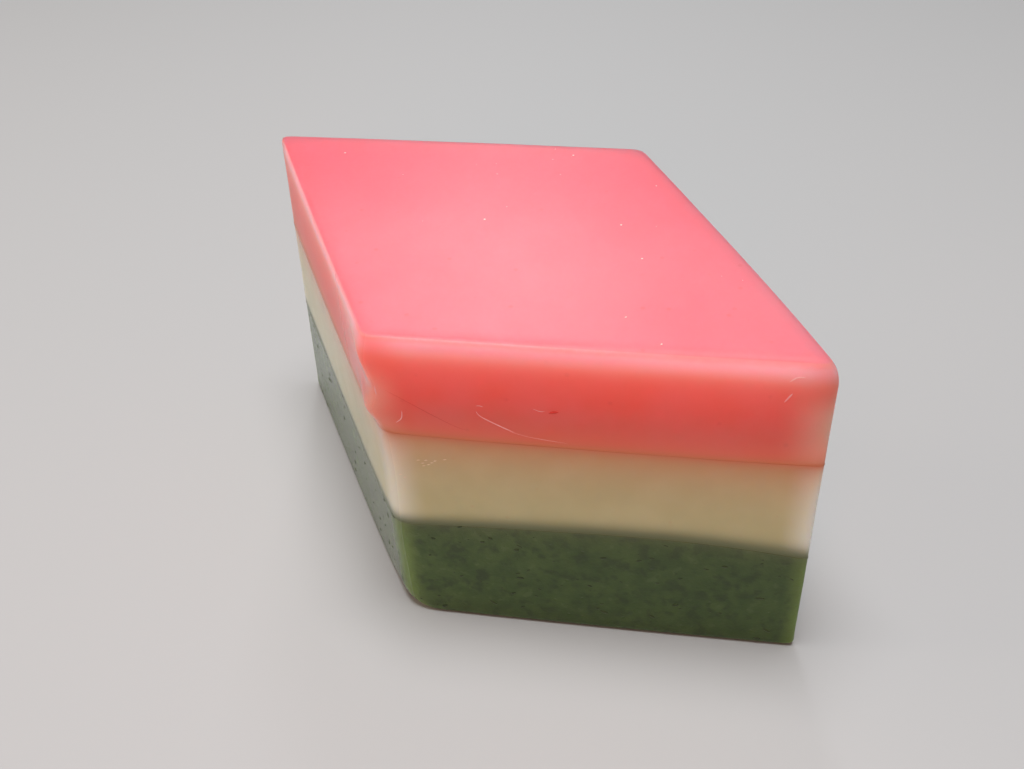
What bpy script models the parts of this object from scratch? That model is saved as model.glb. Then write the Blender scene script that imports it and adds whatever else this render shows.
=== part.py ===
"""Hishi mochi: a diamond-shaped cake of three slabs of rice cake, pressed together and cut.

The green mugwort slab lies at the bottom, the white one in the middle and the pink one on top.
Frame: metres, +Z up, the diamond's long diagonal on X, the origin in the middle of the flat base.
The corners are named by where they point: left is -X, front is -Y, right is +X and back is +Y.
"""
from math import ceil, cos, exp, pi, radians, sin, sqrt, tan

import bmesh
import bpy
from mathutils import Matrix, Vector

# Driving dimensions, in metres
SIDE = 0.0606                      # one side of the diamond, out to its sharp corners
ACUTE_ANGLE = radians(62.0)        # at the left and right corners
GREEN_THICKNESS = 0.0196
WHITE_THICKNESS = 0.0175
PINK_THICKNESS = 0.0164
SLAB_GAP = 0.0003                  # between two slabs that touch

# Rounding of the corners in plan at the top and at the base, and of the edge round the base
TOP_CORNER_RADIUS = {"left": 0.0008, "front": 0.0020, "right": 0.0008, "back": 0.0015}
BASE_CORNER_RADIUS = {"left": 0.0008, "front": 0.0032, "right": 0.0008, "back": 0.0020}
FOOT_RADIUS = 0.0009

# The knife has dragged the top edge of the front-right cut inwards: a sloping shoulder, from the
# front corner to the right one. Every top edge ends in a small rounded arris
SHOULDER_DROP = 0.0032
SHOULDER_INSET = {"left": 0.0, "front": 0.0005, "right": 0.0008, "back": 0.0}
SHOULDER_CURVE = 1.3
ARRIS_RADIUS = 0.0004
RIM_RADIUS = 0.0002                # along the slabs' rims where two of them meet

SIDE_BOW = 0.00020                 # how far the middle of each side swells out

# The left cut isn't upright: at the base it lies further out at the left corner, and further in
# at the front corner
LEFT_CUT_SHIFT_AT_BASE = {"left": 0.0017, "front": -0.0009, "right": 0.0, "back": 0.0}

# Along the front corner's upright edge the dragging knife has left the pink slab proud of the
# white one, with two small ripples, and the edge ends in a well-rounded foot
PINK_PROUD = 0.00045
WHITE_DRAWN_IN = 0.00045
STEP_FOOT, STEP_HEAD = 0.0350, 0.0400    # heights between which the edge steps out
RIPPLES = ((0.0411, 0.0011, 0.00050), (0.0480, 0.0016, 0.00040))    # height, reach, how far out
CORNER_FOOT_RADIUS = 0.0036
EDGE_REACH = 0.0060                # along the sides, how far all of this fades out

# Fineness of the mesh
ARC_STEPS = 6
SIDE_STEPS = 18
LEVEL_SPACING = {"green_layer": 0.0020, "white_layer": 0.0022, "pink_layer": 0.0013}
FOOT_LEVELS = 7
SHOULDER_LEVELS = (0.6, 0.3)       # shares of the shoulder's drop that have a ring
ARRIS_LEVELS = (1.0, 0.3, 0.0)     # shares of the arris's radius that have a ring

CORNERS = ("left", "front", "right", "back")
CAKE_HEIGHT = GREEN_THICKNESS + WHITE_THICKNESS + PINK_THICKNESS
WHITE_TOP = GREEN_THICKNESS + WHITE_THICKNESS
HALF_ACUTE = ACUTE_ANGLE / 2
OUT_OF_LEFT_CUT = Vector((-cos(HALF_ACUTE), -sin(HALF_ACUTE)))     # along the two cuts it meets
INTO_FRONT_RIGHT_CUT = Vector((-cos(HALF_ACUTE), sin(HALF_ACUTE)))

# Way to each corner from the middle, its distance, and half the angle between its two sides
CORNER_PLACE = {
    "left": (Vector((-1, 0)), SIDE * cos(HALF_ACUTE), HALF_ACUTE),
    "front": (Vector((0, -1)), SIDE * sin(HALF_ACUTE), pi / 2 - HALF_ACUTE),
    "right": (Vector((1, 0)), SIDE * cos(HALF_ACUTE), HALF_ACUTE),
    "back": (Vector((0, 1)), SIDE * sin(HALF_ACUTE), pi / 2 - HALF_ACUTE),
}


def quarter_round(distance, radius):
    """How far a rounded edge has drawn in at this distance below or above the edge's flat face."""
    if distance >= radius:
        return 0.0
    return radius * (1 - sqrt(1 - (1 - distance / radius) ** 2))


def smooth_step(x):
    """0 up to x = 0, 1 from x = 1, and a smooth slope between."""
    x = min(max(x, 0.0), 1.0)
    return x * x * (3 - 2 * x)


def edge_inset(z):
    """How far every side lies inside the plain diamond at this height."""
    return quarter_round(z, FOOT_RADIUS) + quarter_round(CAKE_HEIGHT - z, ARRIS_RADIUS)


def shoulder_inset(corner, z):
    """How much further in the front-right cut lies at this end of it and height."""
    slope = max(0.0, 1 - (CAKE_HEIGHT - z) / SHOULDER_DROP)
    return SHOULDER_INSET[corner] * slope ** SHOULDER_CURVE


def corner_point(corner, z, rim_inset):
    """The sharp corner of the diamond at height z, before it is rounded in plan."""
    way, reach, half_angle = CORNER_PLACE[corner]
    point = way * (reach - (edge_inset(z) + rim_inset) / sin(half_angle))
    point += INTO_FRONT_RIGHT_CUT * shoulder_inset(corner, z) / sin(ACUTE_ANGLE)
    shift = LEFT_CUT_SHIFT_AT_BASE[corner] * (1 - z / CAKE_HEIGHT)
    return point + OUT_OF_LEFT_CUT * shift / sin(ACUTE_ANGLE)


def rounded_corner(before, corner, after, radius):
    """Points on the arc that rounds a corner, from the side that comes in to the one that leaves."""
    to_before = (before - corner).normalized()
    to_after = (after - corner).normalized()
    half_angle = to_before.angle(to_after) / 2
    centre = corner + (to_before + to_after).normalized() * radius / sin(half_angle)
    spoke = corner + to_before * radius / tan(half_angle) - centre
    turn = (pi - 2 * half_angle) / ARC_STEPS
    return [centre + Matrix.Rotation(turn * step, 2) @ spoke for step in range(ARC_STEPS + 1)]


def front_edge_push(z):
    """How far the front corner's upright edge stands out (+) or is drawn in (-) at height z."""
    below_step = -WHITE_DRAWN_IN * smooth_step((z - GREEN_THICKNESS) / WHITE_THICKNESS)
    above_step = PINK_PROUD * smooth_step((CAKE_HEIGHT - z) / SHOULDER_DROP)
    stepped_out = smooth_step((z - STEP_FOOT) / (STEP_HEAD - STEP_FOOT))
    push = below_step + (above_step - below_step) * stepped_out
    for height, reach, size in RIPPLES:
        push += size * exp(-(((z - height) / reach) ** 2))
    return push - quarter_round(z, CORNER_FOOT_RADIUS)


def outline(z, rim_inset):
    """The cake's outline at height z, counter-clockwise, with every ring's points in step."""
    sharp = [corner_point(name, z, rim_inset) for name in CORNERS]
    arcs = []
    for index, name in enumerate(CORNERS):
        before, after = sharp[index - 1], sharp[(index + 1) % 4]
        low, high = BASE_CORNER_RADIUS[name], TOP_CORNER_RADIUS[name]
        radius = low + (high - low) * z / CAKE_HEIGHT
        arcs.append(rounded_corner(before, sharp[index], after, radius))
    points = []
    for index, arc in enumerate(arcs):
        points.extend(arc)
        start, end = arc[-1], arcs[(index + 1) % 4][0]
        out = Vector((end.y - start.y, start.x - end.x)).normalized()
        for step in range(1, SIDE_STEPS):
            along = 0.5 - 0.5 * cos(pi * step / SIDE_STEPS)
            bow = SIDE_BOW * sin(pi * along)
            points.append(start.lerp(end, along) + out * bow)
    front = sharp[CORNERS.index("front")]
    push = front_edge_push(z)
    for point in points:
        fade = exp(-(((point - front).length / EDGE_REACH) ** 2))
        point += OUT_OF_LEFT_CUT * push * fade
    return points


def slab_levels(bottom, top, spacing):
    """Heights of a slab's rings and the rim's inset at each, closer where an edge is rounded."""
    start, end = bottom + RIM_RADIUS, top - RIM_RADIUS
    foot, shoulder = [], []
    if bottom == 0.0:
        start = CORNER_FOOT_RADIUS
        foot = [start * (1 - cos(pi / 2 * step / FOOT_LEVELS)) for step in range(FOOT_LEVELS)]
    if top == CAKE_HEIGHT:
        end = top - SHOULDER_DROP
        shoulder = [top - SHOULDER_DROP * share for share in SHOULDER_LEVELS]
        shoulder += [top - ARRIS_RADIUS * share for share in ARRIS_LEVELS]
    count = ceil((end - start) / spacing)
    side = [start + (end - start) * step / count for step in range(count + 1)]
    levels = [(height, 0.0) for height in foot + side + shoulder]
    if bottom > 0.0:
        levels.insert(0, (bottom, RIM_RADIUS))
    if top < CAKE_HEIGHT:
        levels.append((top, RIM_RADIUS))
    return levels


def rice_cake_material(name, colour, roughness):
    """A smooth, moist rice cake finish."""
    material = bpy.data.materials.new(name)
    material.use_nodes = True
    shader = material.node_tree.nodes["Principled BSDF"]
    shader.inputs["Base Color"].default_value = (*colour, 1)
    shader.inputs["Roughness"].default_value = roughness
    shader.inputs["Metallic"].default_value = 0.0
    material.diffuse_color = (*colour, 1)
    return material


def slab(name, bottom, top, material):
    """One slab: a stack of rings with a flat face below and above."""
    mesh = bmesh.new()
    rings = []
    for z, rim_inset in slab_levels(bottom, top, LEVEL_SPACING[name]):
        rings.append([mesh.verts.new((*point, z)) for point in outline(z, rim_inset)])
    for lower, upper in zip(rings, rings[1:]):
        for index in range(len(lower)):
            after = (index + 1) % len(lower)
            mesh.faces.new((lower[index], lower[after], upper[after], upper[index]))
    mesh.faces.new(reversed(rings[0]))
    mesh.faces.new(rings[-1])
    data = bpy.data.meshes.new(name)
    mesh.to_mesh(data)
    mesh.free()
    data.shade_smooth()
    data.set_sharp_from_angle(angle=radians(50))
    data.materials.append(material)
    piece = bpy.data.objects.new(name, data)
    bpy.context.scene.collection.objects.link(piece)
    return piece


def centre_in_plan(pieces):
    """Move the cake so that the middle of its box in plan lies over the origin."""
    corners = [vertex.co for piece in pieces for vertex in piece.data.vertices]
    middle_x = (min(point.x for point in corners) + max(point.x for point in corners)) / 2
    middle_y = (min(point.y for point in corners) + max(point.y for point in corners)) / 2
    for piece in pieces:
        piece.data.transform(Matrix.Translation((-middle_x, -middle_y, 0)))


def build_cake():
    green = rice_cake_material("mugwort_green", (0.085, 0.135, 0.060), 0.35)
    white = rice_cake_material("rice_white", (0.74, 0.64, 0.50), 0.32)
    pink = rice_cake_material("soft_pink", (0.93, 0.26, 0.28), 0.30)
    half_gap = SLAB_GAP / 2
    pieces = [
        slab("green_layer", 0.0, GREEN_THICKNESS - half_gap, green),
        slab("white_layer", GREEN_THICKNESS + half_gap, WHITE_TOP - half_gap, white),
        slab("pink_layer", WHITE_TOP + half_gap, CAKE_HEIGHT, pink),
    ]
    centre_in_plan(pieces)


for item in list(bpy.data.objects):
    bpy.data.objects.remove(item)
build_cake()
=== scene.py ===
from math import cos, pi, radians, sin

import bpy
from mathutils import Matrix, Vector


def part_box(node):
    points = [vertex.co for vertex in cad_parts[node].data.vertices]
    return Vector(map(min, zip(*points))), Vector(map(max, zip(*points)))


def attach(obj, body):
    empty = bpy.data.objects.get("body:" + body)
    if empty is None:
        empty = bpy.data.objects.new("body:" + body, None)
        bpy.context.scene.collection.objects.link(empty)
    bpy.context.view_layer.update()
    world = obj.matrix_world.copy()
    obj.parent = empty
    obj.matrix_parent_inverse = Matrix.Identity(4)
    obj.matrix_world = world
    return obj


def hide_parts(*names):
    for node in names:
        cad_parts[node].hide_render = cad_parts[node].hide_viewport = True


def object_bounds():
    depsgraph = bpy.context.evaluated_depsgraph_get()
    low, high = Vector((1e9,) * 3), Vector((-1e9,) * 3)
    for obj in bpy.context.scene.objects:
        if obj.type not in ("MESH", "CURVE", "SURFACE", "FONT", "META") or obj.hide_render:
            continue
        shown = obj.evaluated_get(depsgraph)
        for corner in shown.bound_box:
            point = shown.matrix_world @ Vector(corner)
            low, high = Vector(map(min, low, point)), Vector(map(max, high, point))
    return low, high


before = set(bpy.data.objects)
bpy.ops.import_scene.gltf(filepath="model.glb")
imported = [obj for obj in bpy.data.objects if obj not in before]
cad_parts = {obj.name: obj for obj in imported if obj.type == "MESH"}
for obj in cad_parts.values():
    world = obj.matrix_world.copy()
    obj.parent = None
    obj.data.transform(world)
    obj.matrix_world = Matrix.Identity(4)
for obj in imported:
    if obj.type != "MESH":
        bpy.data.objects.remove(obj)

cad_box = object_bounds()
scene = bpy.context.scene


# ---- The green slab -------------------------------------------------------------------------
# The bottom slab: rice cake kneaded with chopped mugwort leaf, rolled out flat. The three slabs
# are pressed together and cut into a diamond with a wet knife, so they share one outline: its
# rule is written here, once, as a Geometry Nodes tree that every slab is grown from.

class Field:
    """A value that nodes work out point by point, so that a rule reads as a sum."""

    def __init__(self, tree, socket):
        self.tree = tree
        self.socket = socket

    def math(self, operation, *others):
        """What one math node makes of this field and the others."""
        maths = self.tree.nodes.new("ShaderNodeMath")
        maths.operation = operation
        for slot, value in zip(maths.inputs, (self, *others)):
            feed(slot, value)
        return Field(self.tree, maths.outputs[0])

    def __add__(self, other):
        return self.math("ADD", other)

    def __sub__(self, other):
        return self.math("SUBTRACT", other)

    def __mul__(self, other):
        return self.math("MULTIPLY", other)

    def __truediv__(self, other):
        return self.math("DIVIDE", other)

    def __pow__(self, other):
        return self.math("POWER", other)

    def __neg__(self):
        return self * -1.0

    def __rsub__(self, other):
        return -self + other

    def __rtruediv__(self, other):
        return self ** -1.0 * other

    __radd__ = __add__
    __rmul__ = __mul__


def feed(slot, value):
    """Put a field, a number, a colour, a vector or a datablock into a node's input."""
    if isinstance(value, Field):
        value.tree.links.new(value.socket, slot)
    elif slot.type == "RGBA":
        slot.default_value = (*value, 1.0)
    else:
        slot.default_value = value


def node(tree, kind, inputs=None, output=0, **settings):
    """Add a node, fill its inputs by name or number, and give one of its outputs."""
    made = tree.nodes.new(kind)
    for setting, value in settings.items():
        setattr(made, setting, value)
    for slot, value in (inputs or {}).items():
        feed(made.inputs[slot], value)
    return Field(tree, made.outputs[output])


def eased(x, start, end):
    """0 where x is below start, 1 where it is past end, and a smooth slope between."""
    inputs = {"Value": x, "From Min": start, "From Max": end}
    return node(x.tree, "ShaderNodeMapRange", inputs, interpolation_type="SMOOTHSTEP")


def split(vector):
    """The three numbers of a vector."""
    apart = vector.tree.nodes.new("ShaderNodeSeparateXYZ")
    feed(apart.inputs[0], vector)
    return [Field(vector.tree, output) for output in apart.outputs]


def joined(x, y, z):
    """A vector of three numbers, of which the first is a field."""
    return node(x.tree, "ShaderNodeCombineXYZ", {0: x, 1: y, 2: z})


def rolling(tree, place, size, seed, detail=1.0, roughness=0.5):
    """Smooth noise between 0 and 1, with rolls of about this size."""
    inputs = {"Vector": place, "W": seed, "Scale": 1 / size, "Detail": detail,
              "Roughness": roughness}
    return node(tree, "ShaderNodeTexNoise", inputs, noise_dimensions="4D")


def start_tree(name, kind, sockets):
    """A new node tree with named inputs, and a field for each of them."""
    tree = bpy.data.node_groups.new(name, kind)
    for label, socket_kind in sockets.items():
        socket_type = "NodeSocket" + socket_kind
        tree.interface.new_socket(name=label, in_out="INPUT", socket_type=socket_type)
    entry = tree.nodes.new("NodeGroupInput")
    return tree, {label: Field(tree, entry.outputs[label]) for label in sockets}


def finish_shape(tree, shape, material):
    """Close a Geometry Nodes tree: real faces, shaded smooth, in their own material."""
    real = node(tree, "GeometryNodeRealizeInstances", {0: shape})
    smooth = node(tree, "GeometryNodeSetShadeSmooth", {"Geometry": real, "Shade Smooth": True})
    coated = node(tree, "GeometryNodeSetMaterial", {"Geometry": smooth, "Material": material})
    tree.interface.new_socket(name="Mesh", in_out="OUTPUT", socket_type="NodeSocketGeometry")
    feed(tree.nodes.new("NodeGroupOutput").inputs[0], coated)


def grown(name, tree, values, start=None):
    """Run a tree with these inputs, and keep what it makes as a plain mesh object."""
    piece = bpy.data.objects.new(name, start or bpy.data.meshes.new(name + "_start"))
    scene.collection.objects.link(piece)
    modifier = piece.modifiers.new(name, "NODES")
    modifier.node_group = tree
    for item in tree.interface.items_tree:
        if item.in_out == "INPUT" and item.name in values:
            modifier[item.identifier] = values[item.name]
    evaluated = piece.evaluated_get(bpy.context.evaluated_depsgraph_get())
    piece.data = bpy.data.meshes.new_from_object(evaluated)
    piece.modifiers.remove(modifier)
    piece.data.name = name
    return piece


# Keeps a divisor or a width off zero
TINY = 1e-6


def crowded_to_ends(x, share):
    """Draw grid lines that run from -1 to 1 closer together near both ends."""
    return x * (1 - share) + (x * (pi / 2)).math("SINE") * share


def rounding(distance, reach):
    """How far an edge is cut back, at this distance from its sharp line."""
    return (1 - distance / reach).math("MAXIMUM", 0.0) ** 3.0 * reach / 6


def hump(x, middle, reach):
    """A smooth hump of height 1."""
    off = (x - middle) / reach
    return (-(off * off)).math("EXPONENT")


def slab_tree():
    """One slab of the stack. A grid on a cube is sheared into the diamond, its edges and
    corners are rounded, and the unevenness of the hand-made cuts is laid over it."""
    tree, put = start_tree("rice_cake_slab", "GeometryNodeTree", {
        "Grid Across": "Int", "Grid Up": "Int", "Middle": "Vector", "Side": "Float",
        "Acute Angle": "Float", "Foot": "Float", "Head": "Float", "Cake Height": "Float",
        "Foot Arch": "Float", "Foot Roll": "Float", "Foot Seed": "Float",
        "Head Arch": "Float", "Head Roll": "Float", "Head Seed": "Float",
        "Foot Edge": "Float", "Head Edge": "Float", "Sharp Corner": "Float",
        "Blunt Corner": "Float", "Shoulder Drop": "Float", "Shoulder Front": "Float",
        "Shoulder Right": "Float", "Swell": "Float", "Left Cut Out": "Float",
        "Left Cut In": "Float", "Pink Seam": "Float", "Pink Proud": "Float",
        "Side Waves": "Float", "Top Waves": "Float", "Seed": "Float", "Material": "Material"})
    grid = node(tree, "GeometryNodeMeshCube", {
        "Size": (2, 2, 2), "Vertices X": put["Grid Across"], "Vertices Y": put["Grid Across"],
        "Vertices Z": put["Grid Up"]})
    u, v, w = split(node(tree, "GeometryNodeInputPosition"))
    u, v, w = crowded_to_ends(u, 0.8), crowded_to_ends(v, 0.8), crowded_to_ends(w, 0.65)
    cake_height = put["Cake Height"]

    # u runs along the front-right cut and v along the left cut, both from -1 to 1, and w goes
    # up the slab. ring is 1 on the cut sides, and at_cut on the front-right cut alone
    half_side = put["Side"] / 2
    inradius = half_side * put["Acute Angle"].math("SINE")
    ring = u.math("ABSOLUTE").math("MAXIMUM", v.math("ABSOLUTE")).math("MAXIMUM", TINY)
    off_side = (1 - ring) * inradius
    near_cut = ((1 - v) / 2).math("MAXIMUM", 0.0)
    at_cut = near_cut ** 6.0

    # The seams roll, and along the front-right cut they arch: the lower one dips at its ends
    arch = ((1 - u * u) * (1 + u * 0.35) - 0.5) * near_cut ** 2.0
    plan = joined(u * half_side, v * half_side, 0.0)
    roll_size = 0.022
    foot_roll = (rolling(tree, plan, roll_size, put["Foot Seed"]) - 0.5) * 2 * put["Foot Roll"]
    head_roll = (rolling(tree, plan, roll_size, put["Head Seed"]) - 0.5) * 2 * put["Head Roll"]
    foot = put["Foot"] + arch * put["Foot Arch"] + foot_roll
    thickness = put["Head"] + arch * put["Head Arch"] + head_roll - foot
    above_foot = (w + 1) / 2 * thickness
    below_head = thickness - above_foot

    # The edges round the slab. The top one is rounder towards the right of the front-right cut
    head_edge = put["Head Edge"] * (1 + at_cut * eased(u, -0.4, 0.7) * 1.1)
    head_cut = rounding(off_side + below_head, head_edge)
    foot_cut = rounding(off_side + above_foot, put["Foot Edge"])
    z = foot + above_foot - head_cut + foot_cut

    # The plan, with its corners rounded, the front one more so towards the base
    off_corner = (u.math("ABSOLUTE") - v.math("ABSOLUTE")).math("ABSOLUTE") / ring * half_side
    is_blunt = eased(u * v, -1e-4, 1e-4)
    at_front = (1 - u) * (1 - v) / 4
    blunt_reach = put["Blunt Corner"] * (1 + at_front * (1 - z / cake_height))
    reach = put["Sharp Corner"] * (1 - is_blunt) + blunt_reach * is_blunt
    corner_cut = rounding(off_corner, reach) / half_side
    shrunk = ring - (head_cut + foot_cut) / inradius
    along_front = (u / ring - u.math("SIGN") * corner_cut) * shrunk
    along_left = (v / ring - v.math("SIGN") * corner_cut) * shrunk

    # The knife has dragged the top edge of the front-right cut inwards, as a sloping shoulder
    drawn_in = put["Shoulder Front"] * (1 - u) / 2 + put["Shoulder Right"] * (1 + u) / 2
    slope = (1 - (cake_height - z) / put["Shoulder Drop"]).math("MAXIMUM", 0.0) ** 1.3
    along_left = along_left + drawn_in * slope * at_cut / inradius

    # Each cut side swells a little, and the left cut leans
    along_front = along_front + u * (1 - v * v) * put["Swell"] / inradius
    along_left = along_left + v * (1 - u * u) * put["Swell"] / inradius
    lean = put["Left Cut Out"] * (1 + v) / 2 - put["Left Cut In"] * (1 - v) / 2
    lean = lean * (1 - z / cake_height) * (1 - u) / 2

    # The front corner's upright edge: pink stands proud of white by a step and two ripples,
    # and the foot is well rounded
    seam = put["Pink Seam"]
    stepped = eased(z, seam - 0.0016, seam + 0.0034)
    low_push = eased(z, seam * 0.4, seam * 0.8) * -1.5
    high_push = eased(cake_height - z, 0.0, put["Shoulder Drop"])
    lower_ripple = hump(z, seam + 0.0036, 0.0014) * 1.5
    hollow = hump(z, seam + 0.0075, 0.0019)
    upper_ripple = hump(z, seam + 0.0125, 0.0018)
    push = low_push + (high_push - low_push) * stepped + lower_ripple + upper_ripple - hollow
    foot_radius = 0.0036
    sole = (1 - z / foot_radius).math("MAXIMUM", 0.0)
    tucked_in = foot_radius * (1 - (1 - sole * sole).math("SQRT"))
    push = push * put["Pink Proud"] - tucked_in
    off_front = ((u + 1) * (u + 1) + (v + 1) * (v + 1)).math("SQRT") * half_side
    corner_reach = 0.006
    push = push * hump(off_front, 0.0, corner_reach)
    outwards = lean / put["Acute Angle"].math("SINE") + push
    along_front = along_front - outwards / half_side

    # What the finish needs to know about each point
    notes = {"above_foot": above_foot, "below_head": below_head, "off_corner": off_corner,
             "off_side": off_side, "off_left": (u + 1) * inradius, "off_front": off_front}
    for name, value in notes.items():
        grid = node(tree, "GeometryNodeStoreNamedAttribute",
                    {"Geometry": grid, "Name": name, "Value": value}, data_type="FLOAT")

    half_angle = put["Acute Angle"] / 2
    x = (along_front - along_left) * half_side * half_angle.math("COSINE")
    y = (along_front + along_left) * half_side * half_angle.math("SINE")
    place = node(tree, "ShaderNodeVectorMath", {0: joined(x, y, z), 1: put["Middle"]})
    shaped = node(tree, "GeometryNodeSetPosition", {"Geometry": grid, "Position": place})

    # Soft waves, always inwards: on the cut sides, and on top of the stack
    upright = split(node(tree, "GeometryNodeInputNormal"))[2]
    on_side = 1 - eased(upright.math("ABSOLUTE"), 0.3, 0.95)
    on_top = eased(upright, 0.6, 0.98)
    spot = node(tree, "GeometryNodeInputPosition")
    broad = rolling(tree, spot, 0.011, put["Seed"])
    fine = rolling(tree, spot, 0.0022, put["Seed"] + 3.0)
    off_floor = eased(split(spot)[2], 0.0002, 0.003)
    depth = on_side * put["Side Waves"] * off_floor + on_top * put["Top Waves"]
    depth = depth * (broad * 0.8 + fine * 0.2) * -1.0
    offset = node(tree, "ShaderNodeVectorMath",
                  {0: node(tree, "GeometryNodeInputNormal"), "Scale": depth}, operation="SCALE")
    waved = node(tree, "GeometryNodeSetPosition", {"Geometry": shaped, "Offset": offset})
    finish_shape(tree, waved, put["Material"])
    return tree


SLAB_TREE = slab_tree()
CAKE_HEIGHT = cad_box[1][2]

# The lower seam was pushed up a little when the stack was pressed
SEAM_RISE = 0.00045
GREEN_SEAM = (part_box("green_layer")[1][2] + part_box("white_layer")[0][2]) / 2 + SEAM_RISE
PINK_SEAM = (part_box("white_layer")[1][2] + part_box("pink_layer")[0][2]) / 2
SIDE = 0.0606
ACUTE_ANGLE = radians(62.0)
SHARP_CORNER = 0.0026
BLUNT_CORNER = 0.0024

# The diamond is placed so that its rounded right and back corners reach the solids' own box
HALF_LONG = SIDE * cos(ACUTE_ANGLE / 2)
HALF_SHORT = SIDE * sin(ACUTE_ANGLE / 2)
MIDDLE = Vector((cad_box[1][0] - HALF_LONG + SHARP_CORNER / 3 * cos(ACUTE_ANGLE / 2),
                 cad_box[1][1] - HALF_SHORT + BLUNT_CORNER / 3 * sin(ACUTE_ANGLE / 2), 0.0))


def slab(name, foot, head, material, **changes):
    """Grow one slab between two heights, with the outline that is the same for all three."""
    values = {
        "Grid Across": 140, "Grid Up": 44, "Middle": MIDDLE, "Side": SIDE,
        "Acute Angle": ACUTE_ANGLE, "Foot": foot, "Head": head, "Cake Height": CAKE_HEIGHT,
        "Foot Arch": 0.0, "Foot Roll": 0.0, "Foot Seed": 0.0, "Head Arch": 0.0,
        "Head Roll": 0.0, "Head Seed": 0.0, "Foot Edge": 0.00004, "Head Edge": 0.00004,
        "Sharp Corner": SHARP_CORNER, "Blunt Corner": BLUNT_CORNER, "Shoulder Drop": 0.0032,
        "Shoulder Front": 0.0005, "Shoulder Right": 0.0008, "Swell": 0.0002,
        "Left Cut Out": 0.00164, "Left Cut In": 0.0009, "Pink Seam": PINK_SEAM,
        "Pink Proud": 0.00045, "Side Waves": 0.00016, "Top Waves": 0.0, "Seed": 0.0,
        "Material": material}
    values.update(changes)
    return grown(name, SLAB_TREE, values)


def finish_effect(tree, outputs):
    """Close a group of shader nodes with these named outputs."""
    way_out = tree.nodes.new("NodeGroupOutput")
    for label, value in outputs.items():
        tree.interface.new_socket(name=label, in_out="OUTPUT", socket_type="NodeSocketFloat")
        feed(way_out.inputs[label], value)
    return tree


def kneaded_grain():
    """What kneading leaves in every slab: clouding, a fine grain and a few pinholes."""
    tree, put = start_tree("kneaded_grain", "ShaderNodeTree", {
        "Place": "Vector", "Cloud Size": "Float", "Grain Size": "Float", "Seed": "Float"})
    clouds = rolling(tree, put["Place"], put["Cloud Size"], put["Seed"], 2.0)
    grain = rolling(tree, put["Place"], put["Grain Size"], put["Seed"] + 7.0, 3.0, 0.65)
    cells = tree.nodes.new("ShaderNodeTexVoronoi")
    feed(cells.inputs["Vector"], put["Place"])
    feed(cells.inputs["Scale"], 0.25 / put["Grain Size"].math("MAXIMUM", TINY))
    chosen = eased(split(Field(tree, cells.outputs["Color"]))[0], 0.72, 0.76)
    pinholes = (1 - eased(Field(tree, cells.outputs["Distance"]), 0.06, 0.2)) * chosen
    return finish_effect(tree, {
        "Clouds": eased(clouds, 0.3, 0.7), "Grain": eased(grain, 0.25, 0.75),
        "Pinholes": pinholes, "Height": grain + clouds * 0.5 - pinholes * 0.8})


def seam_stain():
    """How strongly the slab next door colours this one, by the distance from their seam."""
    tree, put = start_tree("seam_stain", "ShaderNodeTree", {
        "Distance": "Float", "Close Share": "Float", "Close Reach": "Float",
        "Far Share": "Float", "Far Reach": "Float"})
    close = (-(put["Distance"] / put["Close Reach"])).math("EXPONENT") * put["Close Share"]
    far = (-(put["Distance"] / put["Far Reach"])).math("EXPONENT") * put["Far Share"]
    return finish_effect(tree, {"Stain": close + far})


def knife_polish():
    """How far the knife, drawn along the left cut, has polished it: most at the front corner."""
    tree, put = start_tree("knife_polish", "ShaderNodeTree", {
        "Off Left": "Float", "Off Front": "Float", "Reach": "Float"})
    on_left = 1 - eased(put["Off Left"], 0.0, 0.0004)
    polish = on_left * (1 - eased(put["Off Front"], 0.0, put["Reach"]))
    return finish_effect(tree, {"Polish": polish})


KNEADED_GRAIN = kneaded_grain()
SEAM_STAIN = seam_stain()
KNIFE_POLISH = knife_polish()


def rice_cake(name, cloud_size, grain_size, seed, **settings):
    """A material with the kneaded grain in place, and these settings of its shader. Gives the
    material, its grain and its shader."""
    material = bpy.data.materials.new(name)
    material.use_nodes = True
    tree = material.node_tree
    shader = tree.nodes["Principled BSDF"]
    for label, value in settings.items():
        feed(shader.inputs[label.replace("_", " ")], value)
    group = node(tree, "ShaderNodeGroup", {
        "Place": node(tree, "ShaderNodeTexCoord", output="Object"), "Cloud Size": cloud_size,
        "Grain Size": grain_size, "Seed": seed}, node_tree=KNEADED_GRAIN)
    grain = {output.name: Field(tree, output) for output in group.socket.node.outputs}
    return material, grain, shader


def note(tree, name):
    """A number that the slab's tree stored at each point."""
    return node(tree, "ShaderNodeAttribute", output="Fac", attribute_name=name)


def stain(distance, close_share, close_reach, far_share, far_reach):
    """The seam stain group, in place."""
    return node(distance.tree, "ShaderNodeGroup", {
        "Distance": distance, "Close Share": close_share, "Close Reach": close_reach,
        "Far Share": far_share, "Far Reach": far_reach}, node_tree=SEAM_STAIN)


def polished(tree, reach):
    """The knife polish group, in place."""
    return node(tree, "ShaderNodeGroup", {
        "Off Left": note(tree, "off_left"), "Off Front": note(tree, "off_front"),
        "Reach": reach}, node_tree=KNIFE_POLISH)


def depth_from(seam_distance, reach):
    """How translucent a cut side is. Light can't pass from one slab's mesh to the next, so a
    slab is left less translucent at its seams, which would go dark otherwise."""
    at_seam = 0.15
    return at_seam + (1 - at_seam) * eased(seam_distance, 0.0, reach)


def tinted(amount, colour, other):
    """One colour passing into another as the amount goes from 0 to 1."""
    inputs = {0: amount, 6: colour, 7: other}
    return node(amount.tree, "ShaderNodeMix", inputs, output=2, data_type="RGBA")


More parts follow.
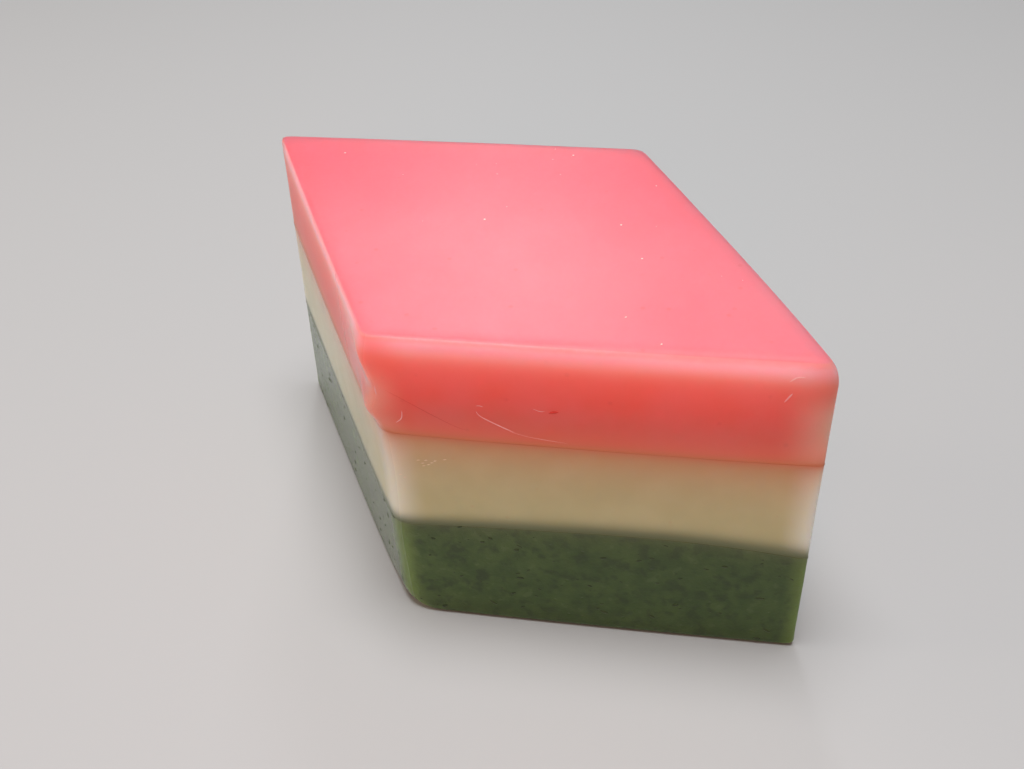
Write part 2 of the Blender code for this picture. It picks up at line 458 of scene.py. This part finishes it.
def finish_surface(shader, colour, roughness, height, depth):
    """Wire a colour, a roughness and a relief into a shader."""
    tree = colour.tree
    feed(shader.inputs["Base Color"], colour)
    feed(shader.inputs["Roughness"], roughness)
    feed(shader.inputs["Normal"], node(tree, "ShaderNodeBump",
                                       {"Height": height, "Distance": depth}))


WET_SKIN_IOR = 1.42

# The knife's polish fades so slowly that it lies along the whole left cut
LONG_POLISH = 0.160


def mugwort_green():
    """Dark moss green, mottled by leaf below the surface, with painted glow at the thin corners."""
    moss, pale_moss = (0.049, 0.105, 0.020), (0.080, 0.150, 0.036)
    deep_leaf, bare_dough = (0.024, 0.050, 0.013), (0.140, 0.220, 0.085)
    brown_foot, shaded_end = (0.058, 0.086, 0.030), (0.022, 0.060, 0.008)
    painted_corner_glow, white_above = (0.195, 0.325, 0.070), (0.180, 0.210, 0.110)
    material, grain, shader = rice_cake(
        "mugwort_green", cloud_size=0.0032, grain_size=0.00045, seed=3.0, Subsurface_Weight=1.0,
        Subsurface_Scale=0.002, Subsurface_Radius=(0.35, 0.45, 0.25), IOR=WET_SKIN_IOR)
    tree = material.node_tree
    place = node(tree, "ShaderNodeTexCoord", output="Object")
    leaf = rolling(tree, place, 0.0019, 5.0, 3.0)
    colour = tinted(grain["Clouds"], moss, pale_moss)
    colour = tinted(eased(leaf, 0.48, 0.68) * 0.7, colour, deep_leaf)
    colour = tinted(eased(leaf, 0.40, 0.30) * 0.35, colour, bare_dough)
    low = 1 - eased(note(tree, "above_foot"), 0.0, 0.007)
    colour = tinted(low * 0.35, colour, brown_foot)
    to_right = eased(split(place)[0], -0.01, 0.03)
    colour = tinted(to_right * 0.38, colour, shaded_end)
    # Painted light: the thin corners are painted paler, as if lit through
    corner = 1 - eased(note(tree, "off_corner"), 0.0003, 0.0035)
    colour = tinted(corner * 0.55, colour, painted_corner_glow)
    seam = stain(note(tree, "below_head"), close_share=0.1, close_reach=0.0006, far_share=0.3,
                 far_reach=0.002)
    colour = tinted(seam, colour, white_above)
    polish = polished(tree, LONG_POLISH)
    roughness = (0.285 + grain["Grain"] * 0.09 + grain["Clouds"] * 0.05) * (1 - polish * 0.6)
    height = (grain["Height"] + leaf * 0.6) * (1 - polish * 0.85)
    finish_surface(shader, colour, roughness, height, 0.00006)
    return material


green_slab = slab("green_slab", 0.0, GREEN_SEAM, mugwort_green(), **{
    "Foot Edge": 0.0016, "Head Arch": 0.0018, "Head Roll": 0.0003, "Head Seed": 4.0, "Seed": 1.0})
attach(green_slab, "root")
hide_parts("green_layer")


# ---- Mugwort flecks -------------------------------------------------------------------------
# Chopped leaf that the knife has laid bare on the cut sides of the green slab: dark shreds,
# most of them under a millimetre long, and mostly level because the cake was rolled out flat.

def scatter_tree():
    """Small lens-shaped bits pressed into a slab's surface at random."""
    tree, put = start_tree("scattered_bits", "GeometryNodeTree", {
        "Slab": "Object", "Bits Per Square Metre": "Float", "Lowest": "Float",
        "Highest": "Float", "Least Upright": "Float", "Most Upright": "Float",
        "Size": "Vector", "Smallest": "Float", "Largest": "Float", "Turn": "Float",
        "Corner Margin": "Float", "Seed": "Int", "Material": "Material"})
    slab_mesh = node(tree, "GeometryNodeObjectInfo", {"Object": put["Slab"]}, output="Geometry")
    height = split(node(tree, "GeometryNodeInputPosition"))[2]
    upright = split(node(tree, "GeometryNodeInputNormal"))[2]
    off_corner = node(tree, "GeometryNodeInputNamedAttribute", {"Name": "off_corner"},
                      data_type="FLOAT")
    density = put["Bits Per Square Metre"]
    for value, least, most in ((height, put["Lowest"], put["Highest"]),
                               (upright, put["Least Upright"], put["Most Upright"]),
                               (off_corner, put["Corner Margin"], 1.0)):
        density = density * value.math("GREATER_THAN", least) * value.math("LESS_THAN", most)
    points = tree.nodes.new("GeometryNodeDistributePointsOnFaces")
    for label, value in {"Mesh": slab_mesh, "Density": density, "Seed": put["Seed"]}.items():
        feed(points.inputs[label], value)
    normal = Field(tree, points.outputs["Normal"])

    # Each bit lies flat on the surface, level along its length and then turned by a little. The
    # upward line leans a little, so that it never runs along the normal
    nearly_up = (0.02, 0.01, 1.0)
    level = node(tree, "ShaderNodeVectorMath", {0: nearly_up, 1: normal},
                 operation="CROSS_PRODUCT")
    faced = node(tree, "FunctionNodeAxesToRotation", {0: normal, 1: level},
                 primary_axis="Z", secondary_axis="X")
    turn = node(tree, "FunctionNodeRandomValue",
                {2: -put["Turn"], 3: put["Turn"], "Seed": put["Seed"]}, output=1)
    twist = node(tree, "FunctionNodeAxisAngleToRotation", {"Axis": (0, 0, 1), "Angle": turn})
    turned = node(tree, "FunctionNodeRotateRotation", {0: faced, 1: twist},
                  rotation_space="LOCAL")

    # Small bits are commoner than large ones, and no two have the same proportions
    growth = node(tree, "FunctionNodeRandomValue",
                  {2: 0.0, 3: 1.0, "Seed": put["Seed"] + 1}, output=1)
    growth = put["Smallest"] + (put["Largest"] - put["Smallest"]) * growth ** 2.0
    stretch = node(tree, "FunctionNodeRandomValue",
                   {0: (0.7, 0.6, 0.8), 1: (1.3, 1.4, 1.2), "Seed": put["Seed"] + 2},
                   data_type="FLOAT_VECTOR")
    size = node(tree, "ShaderNodeVectorMath", {0: put["Size"], "Scale": growth},
                operation="SCALE")
    size = node(tree, "ShaderNodeVectorMath", {0: size, 1: stretch}, operation="MULTIPLY")
    bit = node(tree, "GeometryNodeMeshUVSphere", {"Segments": 8, "Rings": 5, "Radius": 0.5})
    instances = node(tree, "GeometryNodeInstanceOnPoints", {
        "Points": Field(tree, points.outputs["Points"]), "Instance": bit, "Rotation": turned,
        "Scale": size})
    finish_shape(tree, instances, put["Material"])
    return tree


SCATTER_TREE = scatter_tree()


def scattered(name, on_slab, per_square_metre, size, material, **changes):
    """Scatter bits of about this length, width and thickness over a slab, by default on its
    cut sides."""
    values = {
        "Slab": on_slab, "Bits Per Square Metre": per_square_metre, "Lowest": 0.0006,
        "Highest": CAKE_HEIGHT, "Least Upright": -0.4, "Most Upright": 0.4, "Size": Vector(size),
        "Smallest": 0.35, "Largest": 1.3, "Turn": pi, "Corner Margin": 0.0008, "Seed": 1,
        "Material": material}
    values.update(changes)
    return grown(name, SCATTER_TREE, values)


def leaf_shreds():
    """Wet chopped leaf: nearly black green, paler in places."""
    wet_leaf, pale_leaf = (0.021, 0.044, 0.012), (0.040, 0.068, 0.019)
    material, grain, shader = rice_cake(
        "leaf_shreds", cloud_size=0.003, grain_size=0.0003, seed=9.0, IOR=1.4)
    colour = tinted(grain["Clouds"], wet_leaf, pale_leaf)
    roughness = 0.32 + grain["Grain"] * 0.2
    finish_surface(shader, colour, roughness, grain["Height"], 0.00004)
    return material


mugwort_flecks = scattered(
    "mugwort_flecks", green_slab, 75000, (0.00095, 0.00042, 0.00012), leaf_shreds(),
    Turn=radians(35), Highest=GREEN_SEAM - 0.0003, Seed=11)
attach(mugwort_flecks, "root")


# ---- The white slab -------------------------------------------------------------------------
# The middle slab: plain steamed rice cake, cream in colour and translucent. It was rolled out
# flat too, and pink and green show through it where it meets its neighbours.

def rice_white():
    """Cream, with painted glow at the thin corners, stained by the slabs above and below it."""
    cream, pale_cream = (0.525, 0.545, 0.322), (0.565, 0.585, 0.360)
    pinhole_shade, painted_corner_glow = (0.55, 0.43, 0.27), (0.76, 0.84, 0.80)
    green_below, pink_above = (0.120, 0.165, 0.080), (0.70, 0.215, 0.110)
    material, grain, shader = rice_cake(
        "rice_white", cloud_size=0.006, grain_size=0.0005, seed=1.0, Subsurface_Weight=1.0,
        Subsurface_Scale=0.006, Subsurface_Radius=(1.0, 0.75, 0.5), IOR=WET_SKIN_IOR)
    tree = material.node_tree
    above_foot = note(tree, "above_foot")
    below_head = note(tree, "below_head")
    to_right = eased(split(node(tree, "ShaderNodeTexCoord", output="Object"))[0], -0.02, 0.05)
    colour = tinted(grain["Clouds"], cream, pale_cream)
    colour = tinted(grain["Pinholes"] * 0.25, colour, pinhole_shade)
    # Painted light: the thin corners are painted paler, more so towards the right, as if lit
    # through
    corner = 1 - eased(note(tree, "off_corner"), 0.0003, 0.0055)
    colour = tinted(corner * (0.62 + 0.34 * to_right), colour, painted_corner_glow)
    colour = tinted(hump(above_foot, 0.0, 0.0015 + 0.0006 * to_right), colour, green_below)
    seam = stain(below_head, close_share=0.2, close_reach=0.0008, far_share=0.8,
                 far_reach=0.0042)
    colour = tinted(seam, colour, pink_above)
    polish = polished(tree, LONG_POLISH)
    roughness = (0.285 + grain["Grain"] * 0.05 + grain["Clouds"] * 0.03) * (1 - polish * 0.5)
    nearest_seam = above_foot.math("MINIMUM", below_head)
    feed(shader.inputs["Subsurface Weight"], depth_from(nearest_seam, 0.0015))
    finish_surface(shader, colour, roughness, grain["Height"] * (1 - polish * 0.7), 0.00001)
    return material


white_slab = slab("white_slab", GREEN_SEAM, PINK_SEAM, rice_white(), **{
    "Foot Arch": 0.0018, "Foot Roll": 0.0003, "Foot Seed": 4.0,
    "Head Arch": -0.0002, "Head Roll": 0.0002, "Head Seed": 8.0, "Seed": 2.0})
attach(white_slab, "root")
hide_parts("white_layer")


# ---- The pink slab --------------------------------------------------------------------------
# The top slab: rice cake dyed pink. Its edges and corners are thin enough for light to pass; that
# light is painted in as paler, pinker colour, and the cut sides are painted a shaded, deeper coral.

def soft_pink():
    """Coral pink, painted lit on top, shaded on the cut sides and glowing at the shoulder and
    corners; tan where white shows through.
    """
    lit_top_pink, shaded_cut_coral = (1.0, 0.175, 0.225), (1.0, 0.128, 0.100)
    cloud_pink, pinhole_shade = (1.0, 0.230, 0.280), (0.80, 0.10, 0.09)
    painted_arris_highlight, painted_shoulder_glow = (1.0, 0.72, 0.92), (1.0, 0.62, 0.56)
    painted_corner_glow, white_below = (1.0, 0.55, 0.47), (0.70, 0.220, 0.105)
    shaded_far_pink, shaded_rim_pink = (1.0, 0.110, 0.160), (0.98, 0.130, 0.165)
    material, grain, shader = rice_cake(
        "soft_pink", cloud_size=0.009, grain_size=0.0006, seed=6.0, Subsurface_Weight=1.0,
        Subsurface_Scale=0.022, Subsurface_Radius=(1.0, 0.16, 0.13), IOR=WET_SKIN_IOR)
    tree = material.node_tree
    across, back = split(node(tree, "ShaderNodeTexCoord", output="Object"))[:2]
    above_foot = note(tree, "above_foot")
    below_head = note(tree, "below_head")
    off_corner = note(tree, "off_corner")
    off_side = note(tree, "off_side")
    on_side = 1 - eased(off_side, 0.0, 0.0004)
    on_top = 1 - on_side
    to_right = eased(across, -0.02, 0.05)
    # Painted light and shade: a lit copy of the pink on top, and a deeper coral, shaded copy on the
    # cut sides
    colour = tinted(on_side, lit_top_pink, shaded_cut_coral)
    colour = tinted(grain["Clouds"] * 0.25, colour, cloud_pink)
    colour = tinted(grain["Pinholes"] * 0.25, colour, pinhole_shade)

    # Painted light: the glow of light passing through the shoulder and the corners of the cut
    # sides, and a painted highlight along the arris
    shoulder = hump(below_head, 0.0013 + 0.0004 * to_right, 0.0021)
    shoulder = shoulder * (0.50 - 0.12 * to_right) * (0.55 + 0.45 * eased(below_head, 0.0, 0.001))
    shoulder = shoulder + 0.08 * (1 - eased(below_head, 0.004, 0.009))
    inland = 0.45 + 0.55 * eased(off_corner, 0.0, 0.006)
    painted_glow = tinted(eased(below_head, 0.0010, 0.0034), painted_arris_highlight, painted_shoulder_glow)
    colour = tinted(shoulder * on_side * inland, colour, painted_glow)
    corner = 1 - eased(off_corner, 0.0003, 0.0042 + 0.0035 * to_right)
    corner = corner * eased(below_head, 0.002, 0.009)
    colour = tinted(corner * on_side * (0.40 + 0.20 * to_right), colour, painted_corner_glow)

    # Painted shade: the top deepens in colour away from the front-right cut, where less sheen
    # falls, and round its rim
    off_cut = back * 0.86 - across * 0.5
    far_side = eased(off_cut, -0.010, 0.020)
    colour = tinted(far_side * on_top * 0.75, colour, shaded_far_pink)
    rim = 1 - eased(off_side, 0.0, 0.0028 + 0.004 * far_side)
    colour = tinted(rim * on_top * 0.5, colour, shaded_rim_pink)
    seam = stain(above_foot, close_share=0.3, close_reach=0.0006, far_share=0.7,
                 far_reach=0.0020)
    colour = tinted(seam, colour, white_below)

    # The cut sides are glossier than the top, the arris is dull towards the right, and the
    # knife has polished the left cut near the front corner only
    short_polish = 0.026
    polish = polished(tree, short_polish)
    off_left = eased(note(tree, "off_left"), 0.0, 0.0004)
    arris = 1 - eased(off_side + below_head, 0.0, 0.003)
    roughness = 0.34 - on_side * off_left * 0.055 + arris * to_right * 0.20
    roughness = (roughness + grain["Grain"] * off_left * 0.07) * (1 - polish * 0.65)
    feed(shader.inputs["Subsurface Weight"], depth_from(above_foot, 0.006))
    finish_surface(shader, colour, roughness, grain["Height"] * (1 - polish * 0.7), 0.00001)
    return material


pink_slab = slab("pink_slab", PINK_SEAM, CAKE_HEIGHT, soft_pink(), **{
    "Foot Arch": -0.0002, "Foot Roll": 0.0002, "Foot Seed": 8.0, "Head Edge": 0.0015,
    "Top Waves": 0.00012, "Seed": 3.0})
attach(pink_slab, "root")
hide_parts("pink_layer")


# ---- Marks on the front-right cut -----------------------------------------------------------
# What the wet knife and later handling left in the skin of this cut: scratches and folds with
# painted glints, pits and a crease painted dark red for their shade, and rough specks on the white.
# Each is a low tapered line laid on the skin.

def laid_tree():
    """Lines dropped straight onto a slab, as low rounded ridges that taper to both ends."""
    tree, put = start_tree("laid_lines", "GeometryNodeTree", {
        "Lines": "Geometry", "Slab": "Object", "Inwards": "Vector", "Start Out": "Float",
        "Step": "Float", "Sunk Share": "Float", "Sides": "Int", "Material": "Material"})
    curve = node(tree, "GeometryNodeMeshToCurve", {"Mesh": put["Lines"]})
    curve = node(tree, "GeometryNodeCurveSplineType", {"Curve": curve},
                 spline_type="CATMULL_ROM")
    curve = node(tree, "GeometryNodeResampleCurve", {"Curve": curve, "Length": put["Step"]},
                 mode="LENGTH")

    # Every point starts outside the slab and is dropped inwards onto its skin
    slab_mesh = node(tree, "GeometryNodeObjectInfo", {"Object": put["Slab"]}, output="Geometry")
    spot = node(tree, "GeometryNodeInputPosition")
    outside = node(tree, "ShaderNodeVectorMath",
                   {0: put["Inwards"], "Scale": -put["Start Out"], 2: spot}, operation="SCALE")
    outside = node(tree, "ShaderNodeVectorMath", {0: spot, 1: outside})
    landed = node(tree, "GeometryNodeRaycast", {
        "Target Geometry": slab_mesh, "Source Position": outside,
        "Ray Direction": put["Inwards"], "Ray Length": put["Start Out"] * 3}, output="Hit Position")

    # The round section is sunk, so that what stands out is a low ridge of the right width
    half_width = node(tree, "GeometryNodeInputNamedAttribute", {"Name": "half_width"},
                      data_type="FLOAT")
    along = node(tree, "GeometryNodeSplineParameter")
    taper = (along * pi).math("SINE").math("MAXIMUM", 0.0).math("SQRT")
    radius = half_width * taper / (1 - put["Sunk Share"] * put["Sunk Share"]).math("SQRT")
    sunk = node(tree, "ShaderNodeVectorMath",
                {0: put["Inwards"], "Scale": radius * put["Sunk Share"]}, operation="SCALE")
    centre = node(tree, "ShaderNodeVectorMath", {0: landed, 1: sunk})
    placed = node(tree, "GeometryNodeSetPosition", {"Geometry": curve, "Position": centre})
    profile = node(tree, "GeometryNodeCurvePrimitiveCircle",
                   {"Resolution": put["Sides"], "Radius": 1.0}, mode="RADIUS")
    body = node(tree, "GeometryNodeCurveToMesh", {
        "Curve": placed, "Profile Curve": profile, "Scale": radius.math("MAXIMUM", TINY),
        "Fill Caps": True})
    finish_shape(tree, body, put["Material"])
    return tree


LAID_TREE = laid_tree()
MILLIMETRE = 0.001
ALONG_CUT = Vector((cos(ACUTE_ANGLE / 2), sin(ACUTE_ANGLE / 2), 0.0))
INTO_CUT = Vector((-sin(ACUTE_ANGLE / 2), cos(ACUTE_ANGLE / 2), 0.0))
UP = Vector((0.0, 0.0, 1.0))
FRONT_CORNER = MIDDLE - Vector((0.0, HALF_SHORT, 0.0))


def laid(name, on_slab, lines, material):
    """Lay lines on the front-right cut. Each is a half width and then its stops, as distances
    along the cut from the front corner and heights, all in millimetres."""
    points, edges, widths = [], [], []
    for half_width, *stops in lines:
        edges += [(len(points) + i, len(points) + i + 1) for i in range(len(stops) - 1)]
        points += [FRONT_CORNER + (ALONG_CUT * along + UP * height) * MILLIMETRE
                   for along, height in stops]
        widths += [half_width * MILLIMETRE] * len(stops)
    paths = bpy.data.meshes.new(name + "_lines")
    paths.from_pydata(points, edges, [])
    paths.attributes.new("half_width", "FLOAT", "POINT").data.foreach_set("value", widths)
    values = {"Slab": on_slab, "Inwards": INTO_CUT, "Start Out": 0.003, "Step": 0.00025,
              "Sunk Share": 0.7, "Sides": 10, "Material": material}
    piece = grown(name, LAID_TREE, values, paths)
    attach(piece, "root")
    return piece


def mark_finish(name, colour, other, roughness):
    """Wet skin of one of these marks, uneven along its length."""
    material, grain, shader = rice_cake(
        name, cloud_size=0.0016, grain_size=0.0003, seed=3.0, IOR=WET_SKIN_IOR)
    finish_surface(shader, tinted(grain["Clouds"], colour, other),
                   roughness + grain["Grain"] * 0.2, grain["Height"], 0.00002)
    return material


def short_marks(centres, half_width, length, slope):
    """Short straight marks of one size, centred on these places."""
    return [(half_width, (along - length / 2, height - slope / 2),
             (along + length / 2, height + slope / 2)) for along, height in centres]


# Painted highlight: low ridges along scratches and folds, given a paler colour for the glints they
# catch
GLINT_SCRATCHES = [
    (0.06, (15.4, 43.2), (14.8, 43.4), (14.3, 43.3)),
    (0.085, (14.3, 42.5), (14.8, 41.6), (16.8, 40.4), (19.4, 39.1)),
    (0.03, (18.6, 39.3), (21.5, 38.5), (26.5, 37.9)),
    (0.08, (4.1, 41.5), (3.9, 40.1), (3.0, 39.2)),
    (0.12, (0.7, 45.4), (0.8, 43.7)),
    (0.10, (54.0, 50.8), (54.9, 51.4), (55.9, 51.5)),
    (0.13, (53.7, 47.5), (54.6, 49.1)),
    (0.05, (21.9, 43.6), (22.9, 43.2), (23.6, 43.3))]
pale_scratches = laid("pale_scratches", pink_slab, GLINT_SCRATCHES, mark_finish(
    "glint_painted_skin", (1.0, 0.38, 0.40), (1.0, 0.55, 0.58), roughness=0.29))

# Painted shade: a dimple, small pits and a faint crease are laid as dark red marks for the shade in
# them
RED_DOTS = [(19.2, 49.2), (25.6, 48.4), (31.3, 46.3), (33.0, 48.9), (33.2, 43.1), (40.0, 47.2),
            (43.2, 42.6)]
PIT_SHADE_MARKS = [(0.26, (24.0, 43.0), (24.7, 43.2), (25.4, 43.3)),
             (0.03, (2.1, 44.9), (10.3, 39.9), (13.1, 38.8))]
PIT_SHADE_MARKS += short_marks(RED_DOTS, half_width=0.08, length=0.3, slope=0.05)
red_nicks = laid("red_nicks", pink_slab, PIT_SHADE_MARKS, mark_finish(
    "painted_pit_shade", (0.72, 0.045, 0.034), (0.84, 0.062, 0.048), roughness=0.3))

SPECKS = [(5.5, 32.5), (6.1, 32.0), (6.6, 32.6), (6.9, 31.8), (7.4, 32.2), (7.9, 32.6),
          (6.2, 31.5), (2.6, 29.3), (3.2, 28.9), (9.3, 33.0)]
ROUGH_SPECKS = short_marks(SPECKS, half_width=0.08, length=0.6, slope=0.15)
rough_specks = laid("rough_specks", white_slab, ROUGH_SPECKS, mark_finish(
    "rough_white", (0.80, 0.66, 0.52), (0.90, 0.78, 0.64), roughness=0.45))


# ---- Flour specks on top --------------------------------------------------------------------
# A few pale grains of rice flour that stuck to the top of the pink slab while it was handled.
# They lie half sunk in its moist skin, clear of the rounded edge.

flour_specks = scattered(
    "flour_specks", pink_slab, 7000, (0.00030, 0.00022, 0.00007), mark_finish(
        "rice_flour", (0.95, 0.72, 0.62), (1.0, 0.82, 0.74), roughness=0.5),
    **{"Lowest": CAKE_HEIGHT - 0.0022, "Least Upright": 0.9993, "Most Upright": 1.01, "Seed": 5})
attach(flour_specks, "root")


# ---- The stage ------------------------------------------------------------------------------
# A plain pale floor, a soft lamp overhead and another behind the left shoulder, weak warm fills
# from the front and the left, and a camera that looks down on the front-right cut side.

def pale_floor():
    """Matt grey paint."""
    material = bpy.data.materials.new("pale_floor")
    material.use_nodes = True
    shader = material.node_tree.nodes["Principled BSDF"]
    shader.inputs["Base Color"].default_value = (0.42, 0.44, 0.46, 1.0)
    shader.inputs["Roughness"].default_value = 0.6
    return material


FLOOR_REACH = 1.5
floor = bpy.data.objects.new("floor", bpy.data.meshes.new("floor"))
floor.data.from_pydata([(x * FLOOR_REACH, y * FLOOR_REACH, 0.0)
                        for x, y in ((-1, -1), (1, -1), (1, 1), (-1, 1))], [], [(0, 1, 2, 3)])
floor.data.materials.append(pale_floor())
scene.collection.objects.link(floor)


def soft_lamp(name, place, size, watts, colour):
    """A square soft lamp that points at the middle of the cake."""
    lamp = bpy.data.lights.new(name, "AREA")
    lamp.size = size
    lamp.energy = watts
    lamp.color = colour
    holder = bpy.data.objects.new(name, lamp)
    scene.collection.objects.link(holder)
    aim = Vector((0.0, 0.0, CAKE_HEIGHT / 2)) - Vector(place)
    turned = aim.to_track_quat("-Z", "Y").to_matrix().to_4x4()
    holder.matrix_world = Matrix.Translation(place) @ turned


# Each lamp has a name, a place, a width in metres, a power in watts and a colour
LAMPS = (("overhead", (0.0, -0.02, 0.74), 0.30, 5.6, (1.0, 0.97, 0.95)),
         ("behind_left", (-0.53, 0.58, 0.62), 0.16, 1.0, (1.0, 0.97, 0.98)),
         ("front_fill", (0.30, -0.50, 0.22), 0.32, 1.0, (1.0, 0.44, 0.24)),
         ("left_fill", (-0.48, -0.28, 0.20), 0.30, 0.85, (1.0, 0.78, 0.62)))
for lamp in LAMPS:
    soft_lamp(*lamp)

world = bpy.data.worlds.new("studio")
world.use_nodes = True
background = world.node_tree.nodes["Background"]
background.inputs["Color"].default_value = (1.0, 0.97, 0.90, 1.0)
background.inputs["Strength"].default_value = 0.20
scene.world = world
scene.view_settings.view_transform = "Standard"

AZIMUTH, ELEVATION, ROLL = radians(42.2), radians(39.5), radians(-3.2)
CAMERA_PLACE = (0.09424, -0.10571, 0.14173)
LENS = 40.43
NEAREST = 0.01
to_camera = Vector((sin(AZIMUTH) * cos(ELEVATION), -cos(AZIMUTH) * cos(ELEVATION),
                    sin(ELEVATION)))
camera_data = bpy.data.cameras.new("camera")
camera_data.lens = LENS
camera_data.clip_start = NEAREST
camera = bpy.data.objects.new("camera", camera_data)
camera.matrix_world = (Matrix.Translation(CAMERA_PLACE)
                       @ to_camera.to_track_quat("Z", "Y").to_matrix().to_4x4()
                       @ Matrix.Rotation(ROLL, 4, "Z"))
scene.collection.objects.link(camera)
scene.camera = camera
